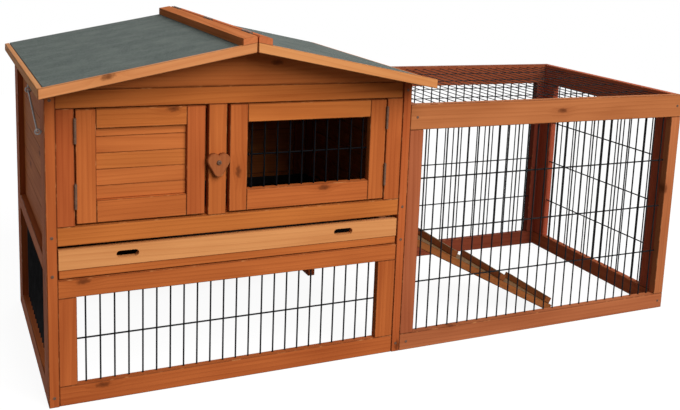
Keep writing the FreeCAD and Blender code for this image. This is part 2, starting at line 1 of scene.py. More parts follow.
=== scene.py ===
import logging
import math
import random
from collections.abc import Iterable, Mapping, Sequence
from dataclasses import dataclass, field
from enum import Enum
from functools import cache
from typing import Any

import bmesh
import bpy
from mathutils import Matrix, Vector


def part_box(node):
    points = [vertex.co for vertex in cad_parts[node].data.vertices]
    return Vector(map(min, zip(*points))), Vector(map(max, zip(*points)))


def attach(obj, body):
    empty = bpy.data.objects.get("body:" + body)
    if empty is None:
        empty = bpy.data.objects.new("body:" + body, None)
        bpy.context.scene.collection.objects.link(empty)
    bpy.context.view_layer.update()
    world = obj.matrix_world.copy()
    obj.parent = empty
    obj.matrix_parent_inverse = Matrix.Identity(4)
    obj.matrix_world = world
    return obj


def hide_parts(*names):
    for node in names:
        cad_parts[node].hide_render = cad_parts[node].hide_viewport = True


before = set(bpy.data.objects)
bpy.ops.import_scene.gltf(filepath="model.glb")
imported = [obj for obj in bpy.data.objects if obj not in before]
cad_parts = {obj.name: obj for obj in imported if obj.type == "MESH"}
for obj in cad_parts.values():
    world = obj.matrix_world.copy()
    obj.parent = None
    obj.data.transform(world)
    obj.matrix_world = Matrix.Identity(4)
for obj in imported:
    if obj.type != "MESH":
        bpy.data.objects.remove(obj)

log = logging.getLogger("hutch")

Triple = tuple[float, float, float]
Colour = tuple[float, float, float]
Span = tuple[float, float]
Box = tuple[Vector, Vector]
Socket = bpy.types.NodeSocket
Mesh = bmesh.types.BMesh
Vert = bmesh.types.BMVert

X = Vector((1.0, 0.0, 0.0))
Y = Vector((0.0, 1.0, 0.0))
Z = Vector((0.0, 0.0, 1.0))
WHITE = (1.0, 1.0, 1.0, 1.0)

EASE = 0.0015
SAME_POINT = 1e-6
SAME_PLANE = math.radians(1.0)
ROUND_BELOW = math.radians(40.0)
ALIGNED = 0.9
UPPER = 0.7
RING_STEPS = 40
WIRE_SIDES = 12

# Features per metre along, across and through a plank.
KNOT_CELLS = (6.5, 15.0, 0.0)
RING_STRETCH = (0.075, 1.0, 1.0)
FIBRES = (7.0, 430.0, 430.0)
STREAKS = (2.2, 60.0, 60.0)
CLOUDS = (3.5, 14.0, 14.0)
# Width of one ring of the wave texture at a scale of one.
RING_PERIOD = 0.314


class Body(Enum):
    """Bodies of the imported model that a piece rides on."""

    HUTCH = "hutch"
    LEFT_DOOR = "left_door"
    RIGHT_DOOR = "right_door"
    TURN_BUTTON = "turn_button"
    TRAY = "tray"
    ROOF_LEFT = "roof_left"
    HOOK = "hook"


class Slot(Enum):
    """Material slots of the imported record."""

    FRAME = "frame_wood"
    PANEL = "panel_wood"
    LIGHT = "light_wood"
    DARK = "dark_wood"
    DECK = "deck_wood"
    RAMP = "ramp_wood"
    HEART = "heart_wood"
    FELT = "roof_felt"
    WIRE = "mesh_wire"
    STEEL = "hardware_steel"
    SHEET = "tray_sheet"


class Look(Enum):
    """The way that a flat panel looks: the two axes that it spans, and the one through it."""

    FRONT = (0, 2, 1)
    SIDE = (1, 2, 0)
    TOP = (0, 1, 2)


class Graph:
    """The node tree of a material or a world, with short calls that add nodes and join them."""

    def __init__(self, owner: bpy.types.Material | bpy.types.World) -> None:
        """Empties the owner's tree."""
        owner.use_nodes = True
        self.owner = owner
        self.tree = owner.node_tree
        self.tree.nodes.clear()

    def feed(self, socket: Socket, value: Any) -> None:
        """Joins another node's output to a socket, or sets the socket to a constant."""
        if isinstance(value, Socket):
            self.tree.links.new(value, socket)
        else:
            socket.default_value = value

    def node(self, kind: str, inputs: Mapping[str | int, Any] | None = None,
             **settings: Any) -> bpy.types.Node:
        """Adds a node, with inputs by socket name or number and with its own settings."""
        made = self.tree.nodes.new(kind)
        for key, value in settings.items():
            setattr(made, key, value)
        for key, value in (inputs or {}).items():
            self.feed(made.inputs[key], value)
        return made

    def attribute(self, name: str, output: str = "Fac") -> Socket:
        """Reads a named value that the mesh carries."""
        return self.node("ShaderNodeAttribute", attribute_name=name).outputs[output]

    def place(self) -> Socket:
        """The point on the piece, in metres from the part's origin."""
        return self.node("ShaderNodeTexCoord").outputs["Object"]

    def math(self, kind: str, *values: Any) -> Socket:
        """One step of arithmetic on numbers."""
        return self.node("ShaderNodeMath", dict(enumerate(values)), operation=kind).outputs[0]

    def times(self, *values: Any) -> Socket:
        """The product of two numbers, with a third one added if it is given."""
        return self.math("MULTIPLY_ADD" if len(values) > 2 else "MULTIPLY", *values)

    def scaled(self, vector: Socket, by: Triple) -> Socket:
        """A vector with each of its parts multiplied by a number of its own."""
        return self.node("ShaderNodeVectorMath", {0: vector, 1: by}, operation="MULTIPLY").outputs[0]

    def red(self, colour: Socket) -> Socket:
        """The red part of a colour."""
        return self.node("ShaderNodeSeparateColor", {0: colour}).outputs[0]

    def noise(self, vector: Socket, scale: float, detail: float = 2.0, roughness: float = 0.5) -> Socket:
        """Soft random values about one half."""
        inputs = {"Vector": vector, "Scale": scale, "Detail": detail, "Roughness": roughness}
        return self.node("ShaderNodeTexNoise", inputs).outputs["Fac"]

    def ramp(self, share: Socket, stops: Sequence[Span]) -> Socket:
        """A grey value that follows stops of (share, value)."""
        made = self.node("ShaderNodeValToRGB", {"Fac": share})
        elements = made.color_ramp.elements
        while len(elements) < len(stops):
            elements.new(0.5)
        for element, (position, value) in zip(elements, stops):
            element.position = position
            element.color = (value, value, value, 1.0)
        return made.outputs["Color"]

    def mix(self, share: Any, low: Any, high: Any) -> Socket:
        """A colour between two others, with a share of the second from 0 to 1."""
        made = self.node("ShaderNodeMix", data_type="RGBA")
        self.feed(made.inputs[0], share)
        # The node keeps its two colours in sockets 6 and 7, and gives the mixed one at output 2.
        for socket, colour in ((made.inputs[6], low), (made.inputs[7], high)):
            self.feed(socket, (*colour, 1.0) if isinstance(colour, tuple) else colour)
        return made.outputs[2]

    def bump(self, height: Socket, distance: float, strength: float) -> Socket:
        """A surface normal tilted by a height."""
        inputs = {"Height": height, "Distance": distance, "Strength": strength}
        return self.node("ShaderNodeBump", inputs).outputs["Normal"]

    def seen(self) -> Socket:
        """One for rays that show a surface itself or its reflection, else zero."""
        rays = self.node("ShaderNodeLightPath").outputs
        total = rays["Is Camera Ray"]
        for name in ("Is Glossy Ray", "Is Transmission Ray"):
            total = self.math("MAXIMUM", total, rays[name])
        return total

    def surface(self, inputs: Mapping[str, Any]) -> bpy.types.Material:
        """Ends a material's tree in one shader with these values."""
        shader = self.node("ShaderNodeBsdfPrincipled", inputs)
        self.node("ShaderNodeOutputMaterial", {"Surface": shader.outputs["BSDF"]})
        return self.owner


@dataclass(frozen=True)
class Finish:
    """A procedural material for one of the record's slots."""

    name: str
    slot: Slot

    def graph(self) -> Graph:
        """An empty tree in a new material."""
        return Graph(bpy.data.materials.new(self.name))

    def material(self) -> bpy.types.Material:
        """The finished material, made once."""
        raise NotImplementedError


@dataclass(frozen=True)
class WoodFinish(Finish):
    """Stained softwood, drawn along each plank's own grain."""

    early: Colour
    late: Colour
    knot: Colour = (0.085, 0.022, 0.008)
    worn: Colour = (0.62, 0.27, 0.10)
    upper_dark_colour: Colour = (0.105, 0.078, 0.034)
    knot_share: float = 0.24
    ring_width: float = 0.0085
    variety: float = 0.05
    edge_shade_and_soil: float = 0.6
    gloss: float = 0.02
    roughness: float = 0.6
    upper_darkening: float = 0.0

    @cache
    def material(self) -> bpy.types.Material:
        """Rings, fibres, knots, tone of each plank, dark end grain, eased edges darkened as painted shade
        with soil, worn edges and darker upward faces.
        """
        g = self.graph()
        grain = g.attribute("grain", "Vector")
        knots = g.node("ShaderNodeTexVoronoi", {"Vector": g.scaled(grain, KNOT_CELLS), "Scale": 1.0},
                       voronoi_dimensions="2D", feature="F1").outputs
        picked = g.math("LESS_THAN", g.red(knots["Color"]), self.knot_share)
        ragged = g.times(g.noise(grain, 160.0, 3.0), 0.09, knots["Distance"])
        near = g.times(g.ramp(ragged, ((0.04, 1.0), (0.14, 0.6), (0.36, 0.0))), picked)
        core = g.times(g.ramp(ragged, ((0.04, 1.0), (0.10, 0.75), (0.155, 0.0))), picked)
        rings = g.node("ShaderNodeTexWave",
                       {"Vector": g.scaled(grain, RING_STRETCH), "Scale": RING_PERIOD / self.ring_width,
                        "Distortion": 9.0, "Detail": 2.5, "Detail Scale": 0.45,
                        "Phase Offset": g.times(near, 7.0)},
                       wave_type="RINGS", rings_direction="X", wave_profile="SAW").outputs["Fac"]
        late = g.ramp(rings, ((0.0, 0.0), (0.5, 0.16), (0.86, 0.9), (0.97, 1.0), (1.0, 0.0)))
        fibre = g.noise(g.scaled(grain, FIBRES), 1.0, 3.0, 0.6)
        streak = g.noise(g.scaled(grain, STREAKS), 1.0, 3.0, 0.6)
        cloud = g.noise(g.scaled(grain, CLOUDS), 1.0, 2.0)
        depth = g.times(late, 0.20, -0.80)
        for layer, weight in ((fibre, 0.40), (streak, 0.75), (cloud, 1.0)):
            depth = g.times(layer, weight, depth)
        depth = g.node("ShaderNodeClamp", {"Value": depth}).outputs[0]
        tone = g.attribute("tone")
        toned = g.node("ShaderNodeHueSaturation",
                       {"Hue": g.times(tone, self.variety / 12.0, 0.5),
                        "Value": g.times(tone, self.variety, 1.0),
                        "Color": g.mix(depth, self.early, self.late)}).outputs[0]
        toned = g.mix(g.times(near, 0.5), toned, self.late)
        toned = g.mix(g.times(core, 0.8), toned, self.knot)
        toned = g.mix(g.times(g.attribute("butt"), 0.45), toned, self.late)
        eased = g.attribute("ease")
        # Eased edges darkened towards the knot colour: painted shade in the joints between planks, with soil
        # caught in them.
        toned = g.mix(g.times(eased, self.edge_shade_and_soil), toned, self.knot)
        scuffs = g.ramp(g.noise(grain, 60.0, 3.0), ((0.54, 0.0), (0.72, 0.5)))
        toned = g.mix(g.times(eased, scuffs), toned, self.worn)
        # Upward faces darkened, more in some patches than in others.
        if self.upper_darkening:
            darkened = g.ramp(g.noise(grain, 26.0, 4.0, 0.6), ((0.3, self.upper_darkening), (0.75, self.upper_darkening * 0.55)))
            toned = g.mix(g.times(g.attribute("upper"), darkened), toned, self.upper_dark_colour)
        height = g.math("SUBTRACT", g.times(fibre, 0.6), g.times(late, 0.35))
        return g.surface({"Base Color": toned, "Roughness": g.times(fibre, 0.22, self.roughness - 0.11),
                          "Specular IOR Level": self.gloss, "Normal": g.bump(height, 0.0006, 0.55)})


@dataclass(frozen=True)
class FeltFinish(Finish):
    """Mineral roofing felt: fine slate granules in a grey-green coat."""

    base: Colour
    pale: Colour
    dark: Colour
    granules: float = 620.0
    patches: float = 17.0

    @cache
    def material(self) -> bpy.types.Material:
        """Granules, soft patches and faint streaks down the slope."""
        g = self.graph()
        place = g.place()
        grains = g.node("ShaderNodeTexVoronoi", {"Vector": place, "Scale": self.granules},
                        feature="F1").outputs
        speck = g.red(grains["Color"])
        patch = g.noise(place, self.patches, 4.0, 0.6)
        streak = g.noise(g.scaled(place, (3.0, 34.0, 3.0)), 1.0, 2.0)
        colour = g.mix(g.ramp(speck, ((0.55, 0.0), (0.95, 0.75))), self.base, self.pale)
        colour = g.mix(g.ramp(speck, ((0.0, 0.8), (0.3, 0.0))), colour, self.dark)
        colour = g.mix(g.ramp(patch, ((0.4, 0.0), (0.7, 0.6))), colour, self.pale)
        colour = g.mix(g.ramp(streak, ((0.45, 0.0), (0.8, 0.2))), colour, self.dark)
        height = g.math("SUBTRACT", speck, grains["Distance"])
        return g.surface({"Base Color": colour, "Roughness": 0.93, "Specular IOR Level": 0.15,
                          "Normal": g.bump(height, 0.0008, 0.7)})


@dataclass(frozen=True)
class MetalFinish(Finish):
    """Plated, coated or enamelled metal with soft blotches."""

    base: Colour
    dull: Colour
    metallic: float
    roughness: float
    blotches: float
    gloss: float = 0.2

    @cache
    def material(self) -> bpy.types.Material:
        """Blotches in colour and gloss, over a fine grain."""
        g = self.graph()
        place = g.place()
        blotch = g.ramp(g.noise(place, self.blotches, 4.0, 0.65), ((0.35, 0.0), (0.7, 1.0)))
        return g.surface({"Base Color": g.mix(blotch, self.base, self.dull), "Metallic": self.metallic,
                          "Roughness": g.times(blotch, 0.18, self.roughness - 0.06),
                          "Specular IOR Level": self.gloss,
                          "Normal": g.bump(g.noise(place, 900.0, 2.0), 0.0002, 0.3)})


FRAME = WoodFinish("stained frame timber", Slot.FRAME, (0.54, 0.155, 0.038), (0.28, 0.060, 0.013))
BROWN = WoodFinish("browner run timber", Slot.FRAME, (0.47, 0.158, 0.058), (0.26, 0.068, 0.021))
PANEL = WoodFinish("stained matched boards", Slot.PANEL, (0.55, 0.166, 0.042), (0.30, 0.068, 0.015),
                   worn=(0.50, 0.160, 0.045), knot_share=0.12, variety=0.025, edge_shade_and_soil=0.3)
RIDGE = WoodFinish("reddish ridge timber", Slot.FRAME, (0.74, 0.240, 0.092), (0.36, 0.094, 0.031), gloss=0.0)
LIGHT = WoodFinish("pale stained trim", Slot.LIGHT, (0.68, 0.300, 0.110), (0.47, 0.163, 0.049),
                   knot_share=0.08, edge_shade_and_soil=0.4)
# Darker copy of the frame stain: painted shade on the run's back frame and top batten.
DARK = WoodFinish("dark stained frame timber", Slot.DARK, (0.30, 0.074, 0.034), (0.165, 0.034, 0.015))
RED = WoodFinish("reddish frame timber", Slot.DARK, (0.57, 0.146, 0.058), (0.33, 0.070, 0.026))
DECK = WoodFinish("thinly stained deck boards", Slot.DECK, (0.42, 0.165, 0.058), (0.25, 0.085, 0.026))
RAMP = WoodFinish("weathered ramp timber", Slot.RAMP, (0.33, 0.108, 0.034), (0.16, 0.046, 0.013), upper_darkening=0.85)
HEART = WoodFinish("greyer heart timber", Slot.HEART, (0.41, 0.143, 0.042), (0.25, 0.078, 0.021),
                   knot_share=0.0, edge_shade_and_soil=0.3)
FELT = FeltFinish("mineral roofing felt", Slot.FELT,
                  (0.086, 0.110, 0.101), (0.160, 0.183, 0.166), (0.038, 0.049, 0.045))
WIRE = MetalFinish("dark coated wire", Slot.WIRE, (0.016, 0.016, 0.017), (0.009, 0.009, 0.010),
                   0.0, 0.6, 45.0, 0.04)
# Darker copy of the wire: painted shade for the door window's net in front of the dark cabin.
SHADED_WIRE = MetalFinish("wire darkened as painted shade", Slot.WIRE, (0.006, 0.006, 0.007), (0.004, 0.004, 0.005),
                         0.0, 0.7, 45.0, 0.02)
BRONZED = MetalFinish("dull bronzed plate", Slot.STEEL, (0.165, 0.088, 0.056), (0.095, 0.052, 0.034),
                      0.2, 0.6, 160.0)
ZINC = MetalFinish("dull zinc wire", Slot.STEEL, (0.42, 0.38, 0.36), (0.28, 0.25, 0.24), 0.3, 0.5, 160.0)
# Black pan: a guessed enamel colour that is also painted shade, keeping the cabin dark through the door
# window.
SHEET = MetalFinish("black enamelled sheet, also painted shade", Slot.SHEET, (0.018, 0.018, 0.019), (0.012, 0.012, 0.013),
                    0.0, 0.6, 75.0, 0.1)


def new_object(name: str, mesh: bpy.types.Mesh, material: bpy.types.Material) -> bpy.types.Object:
    """A new object with one material, linked into the scene."""
    mesh.materials.append(material)
    made = bpy.data.objects.new(name, mesh)
    bpy.context.collection.objects.link(made)
    return made


def settle(name: str, mesh: bpy.types.Mesh, finish: Finish, body: Body, node: str) -> None:
    """Makes a finished piece that rides on a body and stands for a CAD node."""
    piece = new_object(name, mesh, finish.material())
    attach(piece, body.value)
    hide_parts(node)
    log.info("%s rides on %s", name, body.value)


def dress_node(node: str, finish: Finish) -> None:
    """Gives a CAD node that stays in view a finished material."""
    mesh = bpy.data.objects[node].data
    mesh.materials.clear()
    mesh.materials.append(finish.material())
    log.info("%s dressed", node)


def cad_mesh(node: str) -> Mesh:
    """The mesh of a CAD node, with its doubled points joined."""
    bm = bmesh.new()
    bm.from_mesh(bpy.data.objects[node].data)
    bmesh.ops.remove_doubles(bm, verts=bm.verts, dist=SAME_POINT)
    return bm


def loose_parts(bm: Mesh) -> list[set[bmesh.types.BMFace]]:
    """Groups of faces that hang together."""
    left = set(bm.faces)
    groups = []
    while left:
        group, reach = set(), [next(iter(left))]
        while reach:
            face = reach.pop()
            if face in group:
                continue
            group.add(face)
            reach.extend(f for e in face.edges for f in e.link_faces if f not in group)
        left -= group
        groups.append(group)
    return sorted(groups, key=lambda g: min(tuple(round(c, 5) for c in v.co) for f in g for v in f.verts))


def circle(steps: int) -> list[Span]:
    """Cosine and sine at even steps round a full turn."""
    turns = (math.tau * k / steps for k in range(steps))
    return [(math.cos(turn), math.sin(turn)) for turn in turns]


def bridge(bm: Mesh, loops: Sequence[Sequence[Vert]], capped: bool = True) -> None:
    """Joins closed loops of points by quads, and caps the first and the last one if asked."""
    for a, b in zip(loops, loops[1:]):
        for k in range(len(a)):
            j = (k + 1) % len(a)
            bm.faces.new((a[k], a[j], b[j], b[k]))
    if capped:
        bm.faces.new(list(reversed(loops[0])))
        bm.faces.new(loops[-1])


@dataclass
class Timber:
    """A wooden piece: planks with eased edges, each with its own run of grain and tone."""

    name: str
    finish: WoodFinish
    ease: float = EASE
    steps: int = 2
    sharp: float = math.radians(25.0)
    upright_shade: float = 1.2
    pith_along: Span = (0.0, 4.0)
    pith_across: Span = (0.02, 0.07)
    pith_below: Span = (0.012, 0.05)
    lean: Span = (-0.03, 0.03)
    points: list[Vector] = field(default_factory=list)
    faces: list[list[int]] = field(default_factory=list)
    grain: list[Vector] = field(default_factory=list)
    tone: list[float] = field(default_factory=list)
    eased: list[float] = field(default_factory=list)
    butt: list[float] = field(default_factory=list)
    upper: list[float] = field(default_factory=list)

    def __post_init__(self) -> None:
        """Seeds the planks' tones from the piece's own name."""
        self.random = random.Random(self.name)

    def axes(self, corners: Sequence[Vector], along: Vector | None) -> tuple[Vector, Vector, Vector]:
        """Directions along the grain, across the width and through the thickness.

        Args:
            corners: Points of the plank.
            along: Grain direction, or None for the plank's longest side.

        Returns:
            Three unit vectors, the widest way across second.
        """
        def extent(way: Vector) -> float:
            """Length of the plank along a direction."""
            reaches = [way.dot(c) for c in corners]
            return max(reaches) - min(reaches)

        if along is None:
            along = max((X, Y, Z), key=extent)
        side = Y if abs(along.dot(Y)) < 0.5 else X
        wide, thin = sorted((side, along.cross(side).normalized()), key=extent, reverse=True)
        return along, wide, thin

    def add(self, bm: Mesh, along: Vector | None = None) -> None:
        """Eases a plank's sharp edges and takes it into the piece.

        Args:
            bm: The plank's closed mesh, which is freed.
            along: Grain direction, or None for the plank's longest side.
        """
        ways = self.axes([v.co for v in bm.verts], along)
        edges = [e for e in bm.edges if e.is_manifold and e.calc_face_angle(0.0) > self.sharp]
        made = bmesh.ops.bevel(bm, geom=edges, offset=self.ease, segments=self.steps, profile=0.5,
                               affect="EDGES", clamp_overlap=True)
        rounded = set(made["faces"])
        draw = self.random.uniform
        pith = Vector((draw(*self.pith_along), draw(*self.pith_across),
                       draw(*self.pith_below) * self.random.choice((-1, 1))))
        lean = draw(*self.lean)
        upright = abs(ways[0].dot(Z)) > ALIGNED
        tone = draw(-1.0, 1.0) - (self.upright_shade if upright else 0.0)
        centre = sum((v.co for v in bm.verts), Vector()) / len(bm.verts)
        start = len(self.points)
        bm.verts.index_update()
        for vert in bm.verts:
            along_by, wide_by, thin_by = (way.dot(vert.co - centre) for way in ways)
            self.points.append(vert.co.copy())
            self.grain.append(Vector((along_by, wide_by + lean * along_by, thin_by)) + pith)
            self.tone.append(tone)
        for face in bm.faces:
            self.faces.append([start + v.index for v in face.verts])
            self.eased.append(float(face in rounded))
            self.butt.append(float(abs(face.normal.dot(ways[0])) > ALIGNED))
            self.upper.append(float(face.normal.z > UPPER))
        bm.free()

    def prism(self, outline: Sequence[Vector], run: Vector, along: Vector | None = None) -> None:
        """A plank with a flat outline, carried along a run."""
        bm = bmesh.new()
        bridge(bm, [[bm.verts.new(p + shift) for p in outline] for shift in (Vector(), run)])
        bmesh.ops.recalc_face_normals(bm, faces=bm.faces)
        self.add(bm, along)

    def block(self, low: Vector, high: Vector) -> None:
        """A square-edged plank between two corners."""
        corners = ((low.x, low.z), (high.x, low.z), (high.x, high.z), (low.x, high.z))
        self.prism([Vector((x, low.y, z)) for x, z in corners], Y * (high.y - low.y))

    def bar(self, box: Box, look: Look, across: Span, up: Span) -> None:
        """A plank of a flat panel, at its places along the panel's two axes, as thick as the panel's box."""
        low, high = box[0].copy(), box[1].copy()
        for axis, span in zip(look.value, (across, up)):
            low[axis], high[axis] = span
        self.block(low, high)

    def wide_frame(self, box: Box, look: Look, stiles: Span, rails: Span) -> None:
        """A flat frame of two full-length rails with two stiles between them.

        Args:
            box: Lowest and highest corner of the frame.
            look: The way that it looks.
            stiles: Widths of the first and the last stile.
            rails: Heights of the bottom and the top rail.
        """
        a = look.value[0]
        across, up = (box[0][a], box[1][a]), (box[0].z, box[1].z)
        inner = (up[0] + rails[0], up[1] - rails[1])
        for rail in ((up[0], inner[0]), (inner[1], up[1])):
            self.bar(box, look, across, rail)
        for stile in ((across[0], across[0] + stiles[0]), (across[1] - stiles[1], across[1])):
            self.bar(box, look, stile, inner)

    def tall_frame(self, box: Box, look: Look, stiles: Span, rails: Iterable[Span]) -> None:
        """A flat frame of two full-height stiles with rails between them.

        Args:
            box: Lowest and highest corner of the frame.
            look: The way that it looks.
            stiles: Widths of the first and the last stile.
            rails: Bottom and top of each rail.
        """
        a = look.value[0]
        inner = (box[0][a] + stiles[0], box[1][a] - stiles[1])
        for stile in ((box[0][a], inner[0]), (inner[1], box[1][a])):
            self.bar(box, look, stile, (box[0].z, box[1].z))
        for rail in rails:
            self.bar(box, look, inner, rail)

    def solids(self, node: str, along: Vector | None = None) -> None:
        """Takes up the shape of each solid of a CAD node whose solids stand apart."""
        whole = cad_mesh(node)
        bmesh.ops.dissolve_limit(whole, angle_limit=SAME_PLANE, verts=whole.verts, edges=whole.edges)
        for group in loose_parts(whole):
            bm = bmesh.new()
            twin = {v: bm.verts.new(v.co) for v in {v for f in group for v in f.verts}}
            for face in group:
                bm.faces.new([twin[v] for v in face.verts])
            bmesh.ops.recalc_face_normals(bm, faces=bm.faces)
            self.add(bm, along)
        whole.free()

    def make(self, body: Body, node: str) -> None:
        """Makes the object, which rides on a body and stands for a CAD node."""
        mesh = bpy.data.meshes.new(self.name)
        mesh.from_pydata([tuple(p) for p in self.points], [], self.faces)
        mesh.attributes.new("grain", "FLOAT_VECTOR", "POINT").data.foreach_set(
            "vector", [part for place in self.grain for part in place])
        for name, domain, values in (("tone", "POINT", self.tone), ("ease", "FACE", self.eased),
                                     ("butt", "FACE", self.butt), ("upper", "FACE", self.upper)):
            mesh.attributes.new(name, "FLOAT", domain).data.foreach_set("value", values)
        mesh.polygons.foreach_set("use_smooth", [value > 0.5 for value in self.eased])
        mesh.update()
        settle(self.name, mesh, self.finish, body, node)


def whole_timber(node: str, finish: WoodFinish, body: Body = Body.HUTCH, along: Vector | None = None,
                 ease: float = EASE) -> None:
    """A wooden piece with the shape of a CAD node, grained along a direction or each solid's longest side."""
    timber = Timber("timber_" + node, finish, ease)
    timber.solids(node, along)
    timber.make(body, node)


def courses(span: Span, pitch: float) -> list[Span]:
    """Equal courses of boards that fill a height, close to a pitch."""
    count = max(1, round((span[1] - span[0]) / pitch))
    step = (span[1] - span[0]) / count
    return [(span[0] + step * i, span[0] + step * (i + 1)) for i in range(count)]


def sweep(bm: Mesh, path: Sequence[Vector], radii: Sequence[float],
          sides: int = WIRE_SIDES) -> None:
    """Adds a round bar along a path, closed at both ends.

    Args:
        bm: Mesh that takes the bar.
        path: Points of its middle line.
        radii: Its radius at each point.
        sides: Number of its flats.
    """
    ways = [(path[min(i + 1, len(path) - 1)] - path[max(i - 1, 0)]).normalized() for i in range(len(path))]
    side = ways[0].orthogonal().normalized()
    rings = []
    for point, way, radius in zip(path, ways, radii):
        side = (side - way * side.dot(way)).normalized()
        other = way.cross(side)
        rings.append([bm.verts.new(point + (side * c + other * s) * radius) for c, s in circle(sides)])
    bridge(bm, rings)


def straight(bm: Mesh, start: Vector, end: Vector, radius: float, sides: int) -> None:
    """Adds a straight round bar."""
    sweep(bm, (start, end), (radius, radius), sides)


def wire_ring(bm: Mesh, centre: Vector, axis: Vector, ring: float, wire: float) -> None:
    """Adds a ring of round wire about an axis, from the ring's and the wire's radius."""
    side = axis.orthogonal().normalized()
    other = axis.cross(side)
    loops = []
    for turn in circle(RING_STEPS):
        out = side * turn[0] + other * turn[1]
        loops.append([bm.verts.new(centre + out * (ring + wire * c) + axis * wire * s)
                      for c, s in circle(WIRE_SIDES)])
    bridge(bm, loops + loops[:1], capped=False)


def shell_piece(name: str, bm: Mesh, finish: Finish, body: Body, node: str) -> None:
    """Turns a mesh of metal or felt, which is freed, into a finished piece that stands for a CAD node."""
    bmesh.ops.recalc_face_normals(bm, faces=bm.faces)
    mesh = bpy.data.meshes.new(name)
    bm.to_mesh(mesh)
    bm.free()
    mesh.shade_smooth()
    mesh.set_sharp_from_angle(angle=ROUND_BELOW)
    settle(name, mesh, finish, body, node)


@dataclass
class Net:
    """Welded mesh: close round wires, and a few cross wires welded behind them."""

    wire: float = 0.0036
    pitch: float = 0.0282
    cross_pitch: float = 0.125
    weld: float = 0.0005
    sides: int = 10
    finish: MetalFinish = WIRE

    def spaced(self, span: Span, pitch: float, count: int) -> list[float]:
        """Places of wires at a pitch about the middle of a span."""
        return [(span[0] + span[1]) / 2 + (i - (count - 1) / 2) * pitch for i in range(count)]

    def build(self, node: str, look: Look, outside: int, body: Body = Body.HUTCH) -> None:
        """Makes the net that stands for a CAD node.

        Args:
            node: The CAD node.
            look: The way that the net looks.
            outside: -1 or 1, the side of its thickness on which the close wires lie.
            body: The body that it rides on.
        """
        low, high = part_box(node)
        a, b, t = look.value
        across, along = (low[a], high[a]), (low[b], high[b])
        close_count = max(1, round((across[1] - across[0]) / self.pitch))
        cross_count = max(1, round((along[1] - along[0]) / self.cross_pitch) - 1)
        radius = self.wire / 2
        face = low[t] + radius if outside < 0 else high[t] - radius
        behind = face - outside * (self.wire - self.weld)
        bm = bmesh.new()

        def point(at_a: float, at_b: float, at_t: float) -> Vector:
            """A point from its places along the net's own axes."""
            made = Vector()
            made[a], made[b], made[t] = at_a, at_b, at_t
            return made

        for place in self.spaced(across, self.pitch, close_count):
            straight(bm, point(place, along[0], face), point(place, along[1], face), radius, self.sides)
        for place in self.spaced(along, self.cross_pitch, cross_count):
            straight(bm, point(across[0], place, behind), point(across[1], place, behind), radius, self.sides)
        shell_piece("net_" + node, bm, self.finish, body, node)


@dataclass
class ScrewHead:
    """A screw head with a rounded rim and a cross recess."""

    radius: float
    height: float
    rim_high: float = 0.8
    rim_wide: float = 0.4
    recess_share: float = 0.55
    slot_share: float = 0.16
    sink_share: float = 0.55
    floor_share: float = 0.8
    rim_steps: int = 4
    sides: int = 32

    def add(self, bm: Mesh, seat: Vector, out: Vector) -> None:
        """Adds the head to a mesh.

        Args:
            bm: Mesh that takes the head.
            seat: Middle of the face that the head lies on.
            out: Unit vector away from that face.
        """
        side = out.orthogonal().normalized()
        other = out.cross(side)

        def loop(outline: Sequence[Span], size: float, lift: float) -> list[Vert]:
            """Points of a flat outline, scaled and lifted off the seat."""
            return [bm.verts.new(seat + (side * x + other * y) * size + out * lift) for x, y in outline]

        rim = min(self.height * self.rim_high, self.radius * self.rim_wide)
        turns = circle(self.sides)
        rings = [loop(turns, self.radius, 0.0)]
        for k in range(self.rim_steps + 1):
            angle = math.pi / 2 * k / self.rim_steps
            rings.append(loop(turns, self.radius - rim * (1 - math.cos(angle)),
                              self.height - rim * (1 - math.sin(angle))))
        bridge(bm, rings, capped=False)
        bm.faces.new(list(reversed(rings[0])))
        arm, half = self.radius * self.recess_share, self.radius * self.slot_share
        cross = [(arm, -half), (arm, half), (half, half), (half, arm), (-half, arm), (-half, half),
                 (-arm, half), (-arm, -half), (-half, -half), (-half, -arm), (half, -arm), (half, -half)]
        mouth = loop(cross, 1.0, self.height)
        floor = loop(cross, self.floor_share, self.height * (1 - self.sink_share))
        bridge(bm, (mouth, floor), capped=False)
        bm.faces.new(floor)
        edges = [bm.edges.get(ends) for ring in (rings[-1], mouth) for ends in zip(ring, ring[1:] + ring[:1])]
        bmesh.ops.triangle_fill(bm, use_beauty=True, edges=edges)


